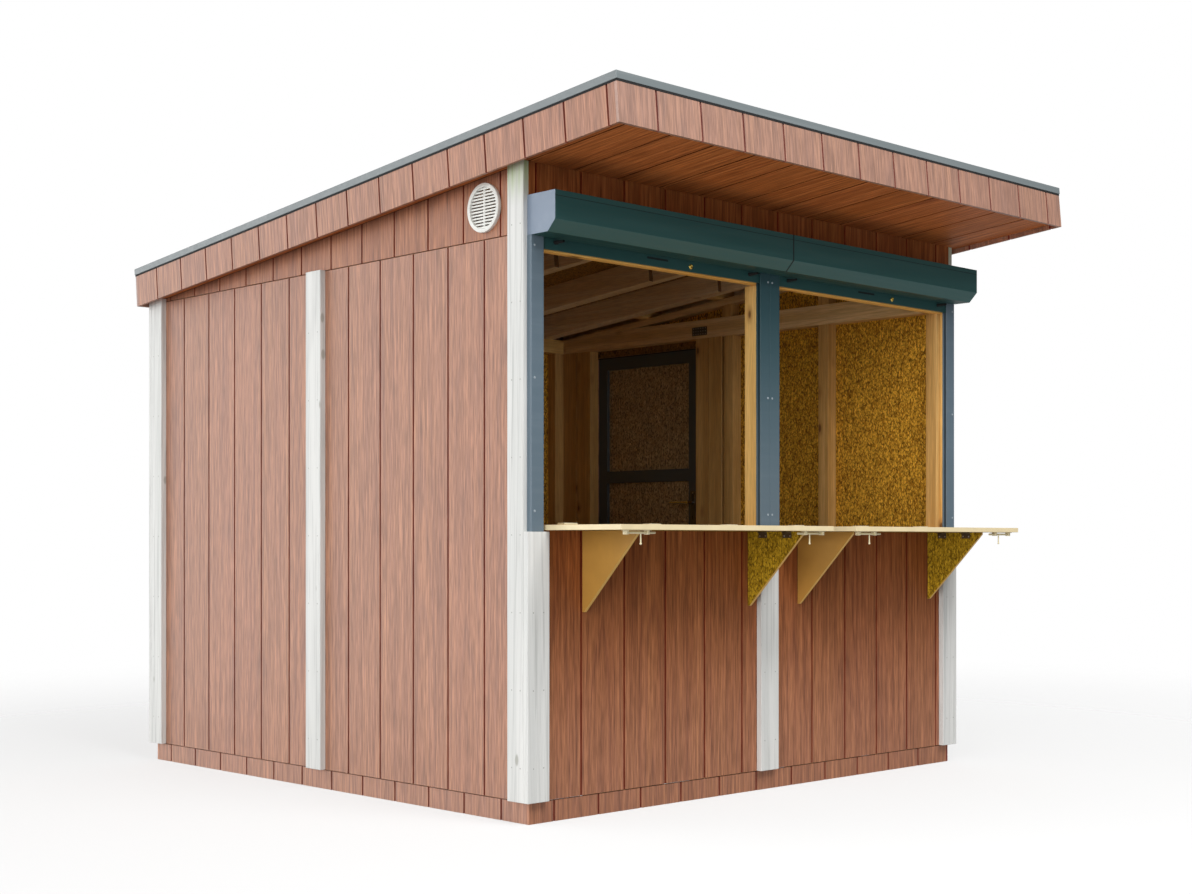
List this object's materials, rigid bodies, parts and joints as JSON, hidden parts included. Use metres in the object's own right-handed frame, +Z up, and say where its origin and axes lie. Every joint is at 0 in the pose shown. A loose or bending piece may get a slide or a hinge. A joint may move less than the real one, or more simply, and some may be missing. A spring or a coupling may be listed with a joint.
{
  "type": "wooden market hut",
  "caption": "Lean-to wooden market hut with grooved cladding, white corner boards, roller shutters over the serving openings, fold-up counters on folding brackets and a hinged side door.",
  "frame": {"origin": "on the ground, in the middle of the skirt's plan", "axes": "+X right along the front, +Y to the back, +Z up; the counters face -Y"},
  "size_m": [2.51, 3.0801, 2.4135],
  "materials": {
    "cladding": "embossed wood grain, satin",
    "white_boards": "painted, faint grain",
    "pine": "planed, bare",
    "strand_board": "pressed strands, bare",
    "bearer_timber": "treated, sawn",
    "flap_board": "film-faced board, pale edges",
    "shutter_metal": "powder coated, satin",
    "edge_metal": "folded sheet, satin",
    "covering": "roof membrane, matt",
    "vent_plastic": "moulded",
    "door_frame_paint": "painted, satin",
    "steel": "brushed",
    "dark_steel": "black, satin",
    "cream_steel": "painted, worn"
  },
  "bodies": {
    "hut": {"floor_bearers": "bearer_timber", "floor_deck": "strand_board", "roof_deck": "strand_board", "skirt_ends": "cladding", "skirt_sides": "cladding", "left_wall": "cladding", "right_wall_front": "cladding", "right_wall_rear": "cladding", "right_wall_over_door": "cladding", "back_wall": "cladding", "front_apron": "cladding", "front_header": "cladding", "gable_panels": "cladding", "fascia_ends": "cladding", "fascia_sides": "cladding", "soffit_front": "cladding", "soffit_edges": "cladding", "side_boards": "white_boards", "front_boards": "white_boards", "back_boards": "white_boards", "side_wall_studs": "pine", "side_wall_plates": "pine", "back_wall_studs": "pine", "back_wall_plates": "pine", "front_wall_studs": "pine", "front_wall_beams": "pine", "header_beam": "pine", "mullion": "pine", "jamb_linings": "pine", "sill_boards": "pine", "gable_rails": "pine", "rafters": "pine", "noggins": "pine", "roof_covering": "covering", "roof_trim": "edge_metal", "shutter_box_left": "shutter_metal", "shutter_box_right": "shutter_metal", "shutter_rails": "shutter_metal", "shutter_end_slats": "shutter_metal", "vent_grille": "vent_plastic", "door_hinges": "steel", "counter_hinges": "cream_steel"},
    "door": {"door_frame": "door_frame_paint", "door_panel": "cladding", "door_plates": "steel"},
    "lever": {"door_lever": "steel"},
    "left_counter": {"flap_left": "flap_board", "bracket_hinges_left": "dark_steel", "bolt_plates_left": "cream_steel"},
    "right_counter": {"flap_right": "flap_board", "bracket_hinges_right": "dark_steel", "bolt_plates_right": "cream_steel"},
    "folding_bracket_1": {"bracket_1": "flap_board"},
    "slide_bolt_1": {"bolt_rod_1": "cream_steel"},
    "folding_bracket_2": {"bracket_2": "flap_board"},
    "slide_bolt_2": {"bolt_rod_2": "cream_steel"},
    "folding_bracket_3": {"bracket_3": "flap_board"},
    "slide_bolt_3": {"bolt_rod_3": "cream_steel"},
    "folding_bracket_4": {"bracket_4": "flap_board"},
    "slide_bolt_4": {"bolt_rod_4": "cream_steel"}
  },
  "joints": [
    {"name": "door_hinge", "type": "hinge", "parent": "hut", "child": "door", "pos_m": [1.203, 0.976, 1], "axis": [0, 0, 1], "range_deg": [0, 105]},
    {"name": "lever_turn", "type": "hinge", "parent": "door", "child": "lever", "pos_m": [1.18, 0.282, 1.142], "axis": [-1, 0, 0], "range_deg": [0, 40], "stiffness_Nm_per_rad": 2.5},
    {"name": "left_counter_hinge", "type": "hinge", "parent": "hut", "child": "left_counter", "pos_m": [-0.594, -1.2545, 1.008], "axis": [-1, 0, 0], "range_deg": [0, 90]},
    {"name": "right_counter_hinge", "type": "hinge", "parent": "hut", "child": "right_counter", "pos_m": [0.594, -1.2545, 1.008], "axis": [-1, 0, 0], "range_deg": [0, 90]},
    {"name": "bracket_1_hinge", "type": "hinge", "parent": "left_counter", "child": "folding_bracket_1", "pos_m": [-0.9295, -1.395, 0.9825], "axis": [0, -1, 0], "range_deg": [0, 90]},
    {"name": "bracket_2_hinge", "type": "hinge", "parent": "left_counter", "child": "folding_bracket_2", "pos_m": [-0.1095, -1.395, 0.9825], "axis": [0, 1, 0], "range_deg": [0, 90]},
    {"name": "bracket_3_hinge", "type": "hinge", "parent": "right_counter", "child": "folding_bracket_3", "pos_m": [0.1965, -1.395, 0.9825], "axis": [0, -1, 0], "range_deg": [0, 90]},
    {"name": "bracket_4_hinge", "type": "hinge", "parent": "right_counter", "child": "folding_bracket_4", "pos_m": [1.0185, -1.395, 0.9825], "axis": [0, 1, 0], "range_deg": [0, 90]},
    {"name": "bolt_1_slide", "type": "slide", "parent": "left_counter", "child": "slide_bolt_1", "axis": [-1, 0, 0], "range_m": [0, 0.056]},
    {"name": "bolt_2_slide", "type": "slide", "parent": "left_counter", "child": "slide_bolt_2", "axis": [1, 0, 0], "range_m": [0, 0.056]},
    {"name": "bolt_3_slide", "type": "slide", "parent": "right_counter", "child": "slide_bolt_3", "axis": [-1, 0, 0], "range_m": [0, 0.056]},
    {"name": "bolt_4_slide", "type": "slide", "parent": "right_counter", "child": "slide_bolt_4", "axis": [1, 0, 0], "range_m": [0, 0.056]}
  ]
}
